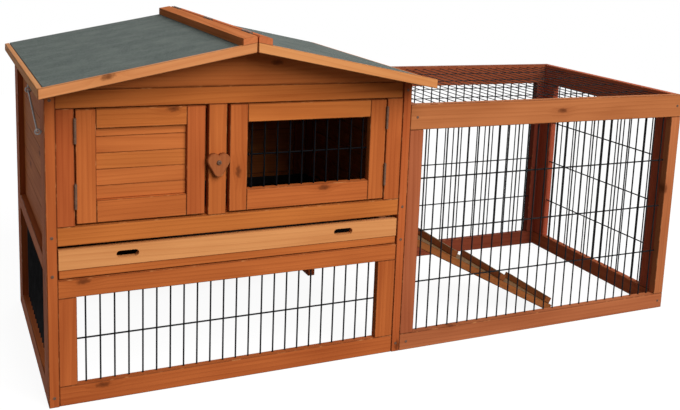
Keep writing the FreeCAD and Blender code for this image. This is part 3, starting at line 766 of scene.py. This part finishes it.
@dataclass
class FrontWall:
    """Posts, header, gable board, sill and the framed net below the tray."""

    lower_stiles: Span = (0.035, 0.044)
    lower_rails: Span = (0.041, 0.0375)
    left_jamb: float = 0.034
    right_jamb: float = 0.038
    mullion: float = 0.038
    free_gap: float = 0.0065
    stop_depth: float = 0.010
    stop_height: float = 0.024
    stop_lap: float = 0.010
    gable_ease: float = 0.0035

    def build(self) -> None:
        """Makes every piece of the wall."""
        for node in ("front_posts", "back_posts", "front_header", "door_sill_rail"):
            whole_timber(node, FRAME)
        # The gable board's wider eased edges carry the eased edges' painted shade, a dark line under the
        # board.
        whole_timber("front_gable_board", PANEL, along=X, ease=self.gable_ease)
        self.build_surround()
        timber = Timber("timber_lower_front_frame", FRAME)
        timber.wide_frame(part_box("lower_front_frame"), Look.FRONT, self.lower_stiles, self.lower_rails)
        timber.make(Body.HUTCH, "lower_front_frame")
        Net().build("lower_front_mesh", Look.FRONT, -1)

    def build_surround(self) -> None:
        """Jambs, the upright between the doors, and the stops behind them."""
        header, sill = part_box("front_header"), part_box("door_sill_rail")
        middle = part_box("left_door_free_stile")[1].x + self.free_gap
        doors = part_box("left_door_frame")
        timber = Timber("timber_door_surround", FRAME)
        for across in ((sill[0].x, sill[0].x + self.left_jamb), (sill[1].x - self.right_jamb, sill[1].x),
                       (middle, middle + self.mullion)):
            timber.bar(sill, Look.FRONT, across, (sill[1].z, header[0].z))
        low, high = sill[0].copy(), sill[1].copy()
        low.y, high.y = sill[1].y, sill[1].y + self.stop_depth
        for top in (doors[1].z - self.stop_lap + self.stop_height, doors[0].z + self.stop_lap):
            timber.bar((low, high), Look.FRONT, (low.x, high.x), (top - self.stop_height, top))
        timber.make(Body.HUTCH, "door_surround")


@dataclass
class OuterWalls:
    """Left, right and back walls of the hutch, with boards above and nets below."""

    side_stile: float = 0.050
    right_front_stile: float = 0.025
    back_stile: float = 0.035
    bottom_rail: float = 0.041
    middle_rail: float = 0.033
    board_pitch: float = 0.064
    board_ease: float = 0.0017
    hole_courses: int = 3
    hole_width: float = 0.138

    def build(self) -> None:
        """Makes every piece of the three walls."""
        for side in ("left", "right"):
            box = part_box(side + "_wall_frame")
            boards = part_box(side + "_wall_boards")
            rails = [(boards[0].z - self.middle_rail, boards[0].z), (boards[1].z, box[1].z)]
            front_stile = self.right_front_stile
            if side == "left":
                rails.append((box[0].z, box[0].z + self.bottom_rail))
                front_stile = self.side_stile
            timber = Timber(f"timber_{side}_wall_frame", FRAME)
            timber.tall_frame(box, Look.SIDE, (front_stile, self.side_stile), rails)
            timber.make(Body.HUTCH, side + "_wall_frame")
            self.build_side_boards(side, boards)
        Net().build("left_lower_mesh", Look.SIDE, -1)
        self.build_back()

    def build_side_boards(self, side: str, box: Box) -> None:
        """Matched boards of one side wall, in their box, the lowest shorter on the right for the pop hole."""
        timber = Timber(f"boards_{side}_wall", PANEL, self.board_ease)
        for i, up in enumerate(courses((box[0].z, box[1].z), self.board_pitch)):
            beside_hole = side == "right" and i < self.hole_courses
            start = box[0].y + self.hole_width if beside_hole else box[0].y
            timber.bar(box, Look.SIDE, (start, box[1].y), up)
        timber.make(Body.HUTCH, side + "_wall_boards")

    def build_back(self) -> None:
        """Frame, boards, net and gable board of the back wall."""
        box, boards, net = (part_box("back_" + name) for name in ("wall_frame", "wall_boards", "lower_mesh"))
        timber = Timber("timber_back_wall_frame", FRAME)
        timber.tall_frame(box, Look.FRONT, (self.back_stile, self.back_stile),
                          ((box[0].z, net[0].z), (net[1].z, boards[0].z), (boards[1].z, box[1].z)))
        timber.make(Body.HUTCH, "back_wall_frame")
        timber = Timber("boards_back_wall", PANEL, self.board_ease)
        for up in courses((boards[0].z, boards[1].z), self.board_pitch):
            timber.bar(boards, Look.FRONT, (boards[0].x, boards[1].x), up)
        timber.make(Body.HUTCH, "back_wall_boards")
        Net().build("back_lower_mesh", Look.FRONT, 1)
        whole_timber("back_gable_board", PANEL, along=X)


@dataclass
class CabinFloor:
    """Floor of the upper storey, its bearers and the beam under the ridge."""

    board_pitch: float = 0.105
    board_ease: float = 0.0008

    def build(self) -> None:
        """Makes the floor boards, the bearers and the beam."""
        low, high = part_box("cabin_floor")
        timber = Timber("boards_cabin_floor", DECK, self.board_ease)
        for across in courses((low.y, high.y), self.board_pitch):
            timber.bar((low, high), Look.TOP, (low.x, high.x), across)
        timber.make(Body.HUTCH, "cabin_floor")
        whole_timber("floor_bearers", DECK)
        whole_timber("ridge_beam", FRAME)


@dataclass
class Doors:
    """Boarded left door and right door with a net window."""

    stile: float = 0.038
    top_rail: float = 0.038
    bottom_rail: float = 0.045
    first_board: float = 0.027
    board_pitch: float = 0.0327
    board_ease: float = 0.0016

    def build(self) -> None:
        """Makes both doors."""
        left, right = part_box("left_door_frame"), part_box("right_door_frame")
        hinged = left[0].x + self.stile
        self.build_frame("left", Body.LEFT_DOOR, (left[0].x, hinged), (hinged, left[1].x))
        self.build_boards()
        hinged = right[1].x - self.stile
        self.build_frame("right", Body.RIGHT_DOOR, (hinged, right[1].x), (right[0].x, hinged))
        # The window's net takes the darker wire as painted shade.
        Net(finish=SHADED_WIRE).build("right_door_mesh", Look.FRONT, -1, Body.RIGHT_DOOR)
        for node in ("left_door_hinge_leaves", "right_door_hinge_leaves", "door_hinge_jamb_leaves"):
            dress_node(node, BRONZED)

    def build_frame(self, side: str, body: Body, stile: Span, inner: Span) -> None:
        """Hinge stile, rails and free stile of one door.

        Args:
            side: left or right.
            body: The door's body.
            stile: Left and right edge of the hinge stile.
            inner: Left and right end of the rails.
        """
        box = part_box(side + "_door_frame")
        low, high = box[0].z, box[1].z
        timber = Timber(f"timber_{side}_door_frame", FRAME)
        timber.bar(box, Look.FRONT, stile, (low, high))
        timber.bar(box, Look.FRONT, inner, (low, low + self.bottom_rail))
        timber.bar(box, Look.FRONT, inner, (high - self.top_rail, high))
        timber.make(body, side + "_door_frame")
        whole_timber(side + "_door_free_stile", FRAME, body, Z)

    def build_boards(self) -> None:
        """Matched boards of the left door, the lowest and the highest trimmed."""
        low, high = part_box("left_door_boards")
        timber = Timber("boards_left_door", PANEL, self.board_ease)
        start, top = low.z, low.z + self.first_board
        while start < high.z:
            timber.bar((low, high), Look.FRONT, (low.x, high.x), (start, min(top, high.z)))
            start, top = top, top + self.board_pitch
        timber.make(Body.LEFT_DOOR, "left_door_boards")


@dataclass
class TurnButton:
    """Heart-shaped turn button with its screw and washer."""

    width: float = 0.048
    height: float = 0.061
    tip_radius: float = 0.011
    lobe_share: float = 0.29
    pivot_share: float = 0.7
    rounding: float = 0.0025
    round_steps: int = 4
    arc_steps: int = 28
    tip_steps: int = 10
    line_steps: int = 8
    head_radius: float = 0.005
    head_height: float = 0.003
    washer_radius: float = 0.008
    washer_thickness: float = 0.0008
    shank_sides: int = 20
    washer_sides: int = 40

    def outline(self, offset: float) -> list[Span]:
        """The heart about its pivot, with a blunt tip.

        Args:
            offset: How far the outline is set outward.

        Returns:
            Points as (x, z), from the tip round the right lobe to the notch and back.
        """
        lobe = self.width * self.lobe_share
        lobe_x = self.width / 2 - lobe
        lobe_z = self.height * (1 - self.pivot_share) - lobe
        point_z = -self.height * self.pivot_share
        reach = math.hypot(lobe_x, lobe_z - point_z)
        tilt = math.atan2(lobe_x, lobe_z - point_z) + math.asin(lobe / reach)
        tip_z = point_z + self.tip_radius / math.sin(tilt)
        last = math.pi - math.acos(min(1.0, lobe_x / (lobe + offset)))

        def arc(x: float, z: float, radius: float, turn: Span, steps: int) -> list[Span]:
            """Points of an arc about a centre, from one angle to another."""
            angles = (turn[0] + (turn[1] - turn[0]) * k / steps for k in range(steps + 1))
            return [(x + radius * math.cos(a), z + radius * math.sin(a)) for a in angles]

        tip = arc(0.0, tip_z, self.tip_radius + offset, (-math.pi / 2, -tilt), self.tip_steps)
        round_lobe = arc(lobe_x, lobe_z, lobe + offset, (-tilt, last), self.arc_steps)
        (x, z), (touch_x, touch_z) = tip[-1], round_lobe[0]
        shares = (k / self.line_steps for k in range(1, self.line_steps))
        side = [(x + (touch_x - x) * s, z + (touch_z - z) * s) for s in shares]
        half = tip + side + round_lobe
        return half + [(-x, z) for x, z in reversed(half[1:-1])]

    def build(self) -> None:
        """Makes the heart, then its screw and washer."""
        low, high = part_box("heart_turn_button")
        pivot = Vector(((low.x + high.x) / 2, low.y, high.z - self.height * (1 - self.pivot_share)))
        profile = []
        for k in range(self.round_steps + 1):
            angle = math.pi / 2 * k / self.round_steps
            profile.append((-self.rounding * (1 - math.sin(angle)),
                            low.y + self.rounding * (1 - math.cos(angle))))
        profile += [(0.0, high.y - self.rounding / 3), (-self.rounding / 3, high.y)]
        bm = bmesh.new()
        bridge(bm, [[bm.verts.new((pivot.x + x, y, pivot.z + z)) for x, z in self.outline(offset)]
                    for offset, y in profile])
        bmesh.ops.recalc_face_normals(bm, faces=bm.faces)
        timber = Timber("heart_turn_button_timber", HEART, sharp=math.pi)
        timber.add(bm, Z)
        timber.eased = [float(len(face) == 4) for face in timber.faces]
        timber.make(Body.TURN_BUTTON, "heart_turn_button")
        self.build_screw(pivot)

    def build_screw(self, face: Vector) -> None:
        """The screw, whose middle line leaves the heart's front at a point, and the washer behind it."""
        low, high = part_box("turn_button_screw")
        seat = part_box("door_sill_rail")[0].y
        head, tail, outer, inner = (
            Vector((face.x, y, face.z))
            for y in (low.y + self.head_height, high.y, seat - self.washer_thickness, seat))
        bm = bmesh.new()
        ScrewHead(self.head_radius, self.head_height).add(bm, head, -Y)
        straight(bm, head, tail, self.head_radius / 2, self.shank_sides)
        straight(bm, outer, inner, self.washer_radius, self.washer_sides)
        shell_piece("screw_turn_button", bm, BRONZED, Body.HUTCH, "turn_button_screw")


@dataclass
class Tray:
    """Pull-out tray: slotted front board, rail and folded pan."""

    ease: float = 0.0016

    def build(self) -> None:
        """Makes the front, the rail and the pan."""
        whole_timber("tray_front", LIGHT, Body.TRAY, X, self.ease)
        whole_timber("tray_rail", FRAME, Body.TRAY, X, self.ease)
        # The black pan also serves as painted shade inside the cabin.
        dress_node("tray_pan", SHEET)


@dataclass
class Roof:
    """Decks, felt, edge trims and ridge boards of both roof sides."""

    pitch: float = math.radians(11.4)
    trim_width: float = 0.010
    trim_depth: float = 0.020
    trim_lip: float = 0.003
    trim_ease: float = 0.0014
    felt: float = 0.002
    felt_gap: float = 0.0013
    felt_steps: tuple[int, int] = (48, 72)
    felt_wave: float = 0.0005
    felt_rim: float = 12.0
    # Height, turns down the slope, turns along the eave and phase of each of the felt's swells.
    swells: tuple[tuple[float, ...], ...] = ((1.0, 5.0, 9.0, 0.0), (0.6, -11.0, 23.0, 1.0))

    def build(self) -> None:
        """Makes both roof sides and the hinges between them."""
        for side, sign, body in (("left", -1, Body.ROOF_LEFT), ("right", 1, Body.HUTCH)):
            whole_timber(f"roof_{side}_deck", DECK, body, Y)
            self.build_felt(f"roof_{side}_felt", sign, body)
            self.build_trim(f"roof_{side}_trim", f"roof_{side}_deck", sign, body)
            whole_timber(f"ridge_{side}_board", RIDGE, body, Y)
        for node in ("roof_hinge_fixed_leaves", "roof_hinge_moving_leaves"):
            dress_node(node, BRONZED)

    def strip(self, timber: Timber, across: Span, top: float, depth: float, run: Span, along: Vector) -> None:
        """A sloping strip of the trim.

        Args:
            timber: The piece that takes the strip.
            across: Its x on the ridge side and on the eave side.
            top: Height of its top at the first of these.
            depth: Its upright depth.
            run: Its y from front to back.
            along: Its grain direction.
        """
        low = top - math.tan(self.pitch) * abs(across[1] - across[0])
        corners = ((across[0], top), (across[1], low), (across[1], low - depth), (across[0], top - depth))
        timber.prism([Vector((x, run[0], z)) for x, z in corners], Y * (run[1] - run[0]), along)

    def build_trim(self, node: str, deck_node: str, sign: int, body: Body) -> None:
        """Barge board, back board and eave board of one roof side.

        Args:
            node: The CAD node of the trim.
            deck_node: The CAD node of the deck inside it.
            sign: -1 on the left and 1 on the right.
            body: The roof side's body.
        """
        low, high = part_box(node)
        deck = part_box(deck_node)
        ridge, eave = (high.x, low.x) if sign < 0 else (low.x, high.x)
        inner = eave - sign * self.trim_width
        slope = Vector((math.cos(self.pitch) * sign, 0.0, -math.sin(self.pitch)))
        eave_top = high.z - math.tan(self.pitch) * abs(inner - ridge)
        timber = Timber(node + "_boards", LIGHT, self.trim_ease)
        self.strip(timber, (ridge, eave), high.z, self.trim_depth, (low.y, deck[0].y), slope)
        lip = self.trim_lip + self.felt / math.cos(self.pitch)
        self.strip(timber, (ridge, inner), high.z - lip, self.trim_depth - lip, (deck[1].y, high.y), slope)
        self.strip(timber, (inner, eave), eave_top - self.trim_lip, self.trim_depth - self.trim_lip,
                   (deck[0].y, high.y), Y)
        timber.make(body, node)

    def sag(self, u: float, v: float, sign: int) -> float:
        """How far the felt sags at shares of its slope and its length, with none along its rim."""
        wave = sum(h * math.sin(a * u + b * v + phase * sign) for h, a, b, phase in self.swells)
        most = sum(swell[0] for swell in self.swells)
        rim = min(1.0, self.felt_rim * min(u, 1 - u, v, 1 - v))
        return self.felt_wave * (most + wave) / (2 * most) * rim

    def build_felt(self, node: str, sign: int, body: Body) -> None:
        """A sheet of felt whose top lies in faint waves.

        Args:
            node: The CAD node of the felt.
            sign: -1 on the left and 1 on the right.
            body: The roof side's body.
        """
        low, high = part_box(node)
        ridge, eave = (high.x, low.x + self.felt_gap) if sign < 0 else (low.x, high.x - self.felt_gap)
        rise = self.felt / math.cos(self.pitch)
        fall = math.tan(self.pitch) * abs(eave - ridge)
        across, down = self.felt_steps
        bm = bmesh.new()

        def point(i: int, j: int, lift: float) -> Vert:
            """A point of the sheet's waved top, or of its flat underside where there is no lift."""
            u, v = i / across, j / down
            z = high.z - rise - fall * u + lift - (self.sag(u, v, sign) if lift else 0.0)
            return bm.verts.new((ridge + (eave - ridge) * u, low.y + (high.y - low.y) * v, z))

        sheets = [[[point(i, j, lift) for j in range(down + 1)] for i in range(across + 1)]
                  for lift in (rise, 0.0)]
        for rows in sheets:
            for a, b in zip(rows, rows[1:]):
                for j in range(down):
                    bm.faces.new((a[j], b[j], b[j + 1], a[j + 1]))
        rim = ([(i, 0) for i in range(across)] + [(across, j) for j in range(down)]
               + [(i, down) for i in range(across, 0, -1)] + [(0, j) for j in range(down, 0, -1)])
        bridge(bm, [[rows[i][j] for i, j in rim] for rows in sheets], capped=False)
        shell_piece(node + "_sheet", bm, FELT, body, node)


@dataclass
class Run:
    """Framed nets of the run, with a net over the top."""

    front_stiles: Span = (0.035, 0.030)
    back_stiles: Span = (0.035, 0.045)
    end_stiles: Span = (0.052, 0.052)
    rails: Span = (0.041, 0.058)
    top_wire: float = 0.0020

    def build(self) -> None:
        """Makes the three panels, the batten and the nets."""
        for node, finish, look, stiles in (("run_front_frame", BROWN, Look.FRONT, self.front_stiles),
                                           ("run_back_frame", DARK, Look.FRONT, self.back_stiles),
                                           ("run_end_frame", RED, Look.SIDE, self.end_stiles)):
            timber = Timber("timber_" + node, finish)
            timber.wide_frame(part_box(node), look, stiles, self.rails)
            timber.make(Body.HUTCH, node)
        # The batten takes the darker copy of the frame stain as painted shade, as the run's back frame does.
        whole_timber("run_top_batten", DARK)
        Net().build("run_front_mesh", Look.FRONT, -1)
        Net().build("run_back_mesh", Look.FRONT, 1)
        Net().build("run_end_mesh", Look.SIDE, 1)
        Net(self.top_wire).build("run_top_mesh", Look.TOP, 1)


@dataclass
class Ramp:
    """Sloping board with cleats, hung on two strap hooks."""

    angle: float = math.radians(28.4)

    def build(self) -> None:
        """Makes the board, the cleats and the hooks."""
        slope = Vector((math.cos(self.angle), 0.0, -math.sin(self.angle)))
        whole_timber("ramp_board", RAMP, along=slope)
        whole_timber("ramp_cleats", RAMP, along=Y)
        dress_node("ramp_hooks", BRONZED)


@dataclass
class CabinHook:
    """Cabin hook of bent wire between an eye under the eave and an eye in the wall."""

    eye_ring: float = 0.005
    eye_wire: float = 0.0015
    stem_steps: int = 24
    thread_from: float = 0.45
    thread_depth: float = 0.12
    hook_wire: float = 0.0018
    arm: float = 0.010
    tip: float = 0.0095
    bend: float = 0.004
    bend_steps: int = 6

    def build(self) -> None:
        """Makes both eyes and the hook."""
        reach = self.eye_ring + self.eye_wire
        low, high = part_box("hook_roof_eye")
        centre = Vector(((low.x + high.x) / 2, (low.y + high.y) / 2, low.z + reach))
        self.build_eye("hook_roof_eye", centre, Vector((centre.x, centre.y, high.z)), Body.ROOF_LEFT)
        low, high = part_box("hook_wall_eye")
        centre = Vector((low.x + reach, (low.y + high.y) / 2, (low.z + high.z) / 2))
        self.build_eye("hook_wall_eye", centre, Vector((high.x, centre.y, centre.z)), Body.HUTCH)
        self.build_hook()

    def build_eye(self, node: str, centre: Vector, root: Vector, body: Body) -> None:
        """A screw eye.

        Args:
            node: The CAD node that it stands for.
            centre: Middle of its ring.
            root: Where its stem enters the wood.
            body: The body that it rides on.
        """
        bm = bmesh.new()
        wire_ring(bm, centre, Y, self.eye_ring, self.eye_wire)
        start = centre + (root - centre).normalized() * self.eye_ring
        path, radii = [], []
        for k in range(self.stem_steps + 1):
            share = k / self.stem_steps
            thread = self.thread_depth * (k % 2) if share > self.thread_from else 0.0
            path.append(start.lerp(root, share))
            radii.append(self.eye_wire * (1.0 - thread))
        sweep(bm, path, radii)
        shell_piece(node + "_wire", bm, ZINC, body, node)

    def build_hook(self) -> None:
        """The hook: an arm through the roof eye, a straight shank and a bent tip."""
        low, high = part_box("cabin_hook")
        r = self.hook_wire
        top, foot = (low.x + r, high.z - r), (high.x - r, low.z + r)
        stations = ((top, high.y), (top, high.y - self.arm), (foot, low.y + self.tip), (foot, low.y))
        route = [Vector((x, y, z)) for (x, z), y in stations]
        path = [route[0]]
        for before, corner, after in zip(route, route[1:], route[2:]):
            enter = corner + (before - corner).normalized() * self.bend
            leave = corner + (after - corner).normalized() * self.bend
            for k in range(self.bend_steps + 1):
                share = k / self.bend_steps
                path.append(enter.lerp(corner, share).lerp(corner.lerp(leave, share), share))
        path.append(route[-1])
        bm = bmesh.new()
        sweep(bm, path, [r] * len(path))
        shell_piece("hook_wire", bm, ZINC, Body.HOOK, "cabin_hook")


@dataclass
class FrameScrews:
    """Screw heads in the front posts and in the run's front frame."""

    radius: float = 0.0032

    def build(self) -> None:
        """Makes one head at each of the CAD node's solids."""
        low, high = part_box("frame_screws")
        head = ScrewHead(self.radius, high.y - low.y)
        cad = cad_mesh("frame_screws")
        bm = bmesh.new()
        for group in loose_parts(cad):
            xs, zs = ([v.co[axis] for f in group for v in f.verts] for axis in (0, 2))
            head.add(bm, Vector(((min(xs) + max(xs)) / 2, high.y, (min(zs) + max(zs)) / 2)), -Y)
        cad.free()
        shell_piece("screw_heads", bm, BRONZED, Body.HUTCH, "frame_screws")


@dataclass(frozen=True)
class Lamp:
    """A square soft lamp that faces the middle of the part."""

    name: str
    place: Triple
    size: float
    power: float
    colour: Colour = (1.0, 1.0, 1.0)
    aim: Triple = (0.0, 0.0, 0.3)

    def build(self) -> None:
        """Hangs the lamp."""
        data = bpy.data.lights.new(self.name, "AREA")
        data.shape = "SQUARE"
        data.size = self.size
        data.energy = self.power
        data.color = self.colour
        made = bpy.data.objects.new(self.name, data)
        made.location = self.place
        made.rotation_euler = (Vector(self.aim) - Vector(self.place)).to_track_quat("-Z", "Y").to_euler()
        bpy.context.collection.objects.link(made)


@dataclass
class Studio:
    """Camera, lamps, backdrop and floor."""

    image: tuple[int, int] = (680, 410)
    focal_pixels: float = 938.355
    centre: Span = (392.569, 115.0)
    azimuth: float = math.radians(26.8236)
    elevation: float = math.radians(10.3538)
    roll: float = math.radians(-2.7827)
    eye: Triple = (-0.97292, -2.10674, 0.93843)
    sensor: float = 36.0
    floor_size: float = 7.0
    ambient: float = 0.19
    floor_glow: float = 0.93
    floor_shade: float = 0.13
    bounce: float = 0.16
    lamps: tuple[Lamp, ...] = (Lamp("key lamp", (1.6, -5.3, 4.2), 5.2, 605.0, (1.0, 0.99, 0.97)),
                               Lamp("back fill lamp", (1.2, 5.4, 3.0), 3.0, 120.0))

    def build(self) -> None:
        """Sets up the view, the light and the floor."""
        bpy.context.scene.view_settings.view_transform = "Standard"
        self.build_camera()
        self.build_world()
        self.build_floor()
        for lamp in self.lamps:
            lamp.build()

    def build_camera(self) -> None:
        """A camera at the photograph's place."""
        data = bpy.data.cameras.new("camera")
        data.sensor_width = self.sensor
        data.lens = self.focal_pixels / self.image[0] * self.sensor
        data.shift_x = (self.image[0] / 2 - self.centre[0]) / self.image[0]
        data.shift_y = (self.centre[1] - self.image[1] / 2) / self.image[0]
        az, el, roll = self.azimuth, self.elevation, self.roll
        ahead = Vector((math.sin(az) * math.cos(el), math.cos(az) * math.cos(el), -math.sin(el)))
        right = Vector((math.cos(az), -math.sin(az), 0.0))
        down = ahead.cross(right)
        turned_right = right * math.cos(roll) + down * math.sin(roll)
        turned_down = down * math.cos(roll) - right * math.sin(roll)
        turn = Matrix((turned_right, -turned_down, -ahead)).transposed()
        camera = bpy.data.objects.new("camera", data)
        camera.matrix_world = Matrix.Translation(self.eye) @ turn.to_4x4()
        bpy.context.collection.objects.link(camera)
        bpy.context.scene.camera = camera

    def build_world(self) -> None:
        """White behind the part, and an even dim light from all round."""
        g = Graph(bpy.data.worlds.new("backdrop"))
        level = g.node("ShaderNodeMapRange", {"Value": g.seen(), "To Min": self.ambient, "To Max": 1.0})
        glow = g.node("ShaderNodeBackground", {"Color": WHITE, "Strength": level.outputs["Result"]})
        g.node("ShaderNodeOutputWorld", {"Surface": glow.outputs["Background"]})
        bpy.context.scene.world = g.owner

    def build_floor(self) -> None:
        """A pale floor that shows white and keeps a soft shadow."""
        half = self.floor_size / 2
        corners = [(-half, -half, 0), (half, -half, 0), (half, half, 0), (-half, half, 0)]
        mesh = bpy.data.meshes.new("studio_floor")
        mesh.from_pydata(corners, [], [(0, 1, 2, 3)])
        g = Graph(bpy.data.materials.new("pale floor"))
        glow = g.node("ShaderNodeEmission", {"Color": WHITE, "Strength": self.floor_glow})
        shaded, matt = (g.node("ShaderNodeBsdfDiffuse", {"Color": (grey, grey, grey, 1.0)})
                        for grey in (self.floor_shade, self.bounce))
        pale = g.node("ShaderNodeAddShader", {0: glow.outputs[0], 1: shaded.outputs[0]})
        both = g.node("ShaderNodeMixShader", {0: g.seen(), 1: matt.outputs[0], 2: pale.outputs[0]})
        g.node("ShaderNodeOutputMaterial", {"Surface": both.outputs[0]})
        new_object("studio_floor", mesh, g.owner)


def main() -> None:
    """Builds and dresses each sub-assembly in turn."""
    logging.basicConfig(level=logging.INFO, format="%(name)s: %(message)s")
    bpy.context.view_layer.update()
    parts = (Studio(), FrontWall(), OuterWalls(), CabinFloor(), Doors(), TurnButton(), Tray(), Roof(),
             Run(), Ramp(), CabinHook(), FrameScrews())
    for part in parts:
        log.info("%s", type(part).__name__)
        part.build()


if __name__ == "__main__":
    main()
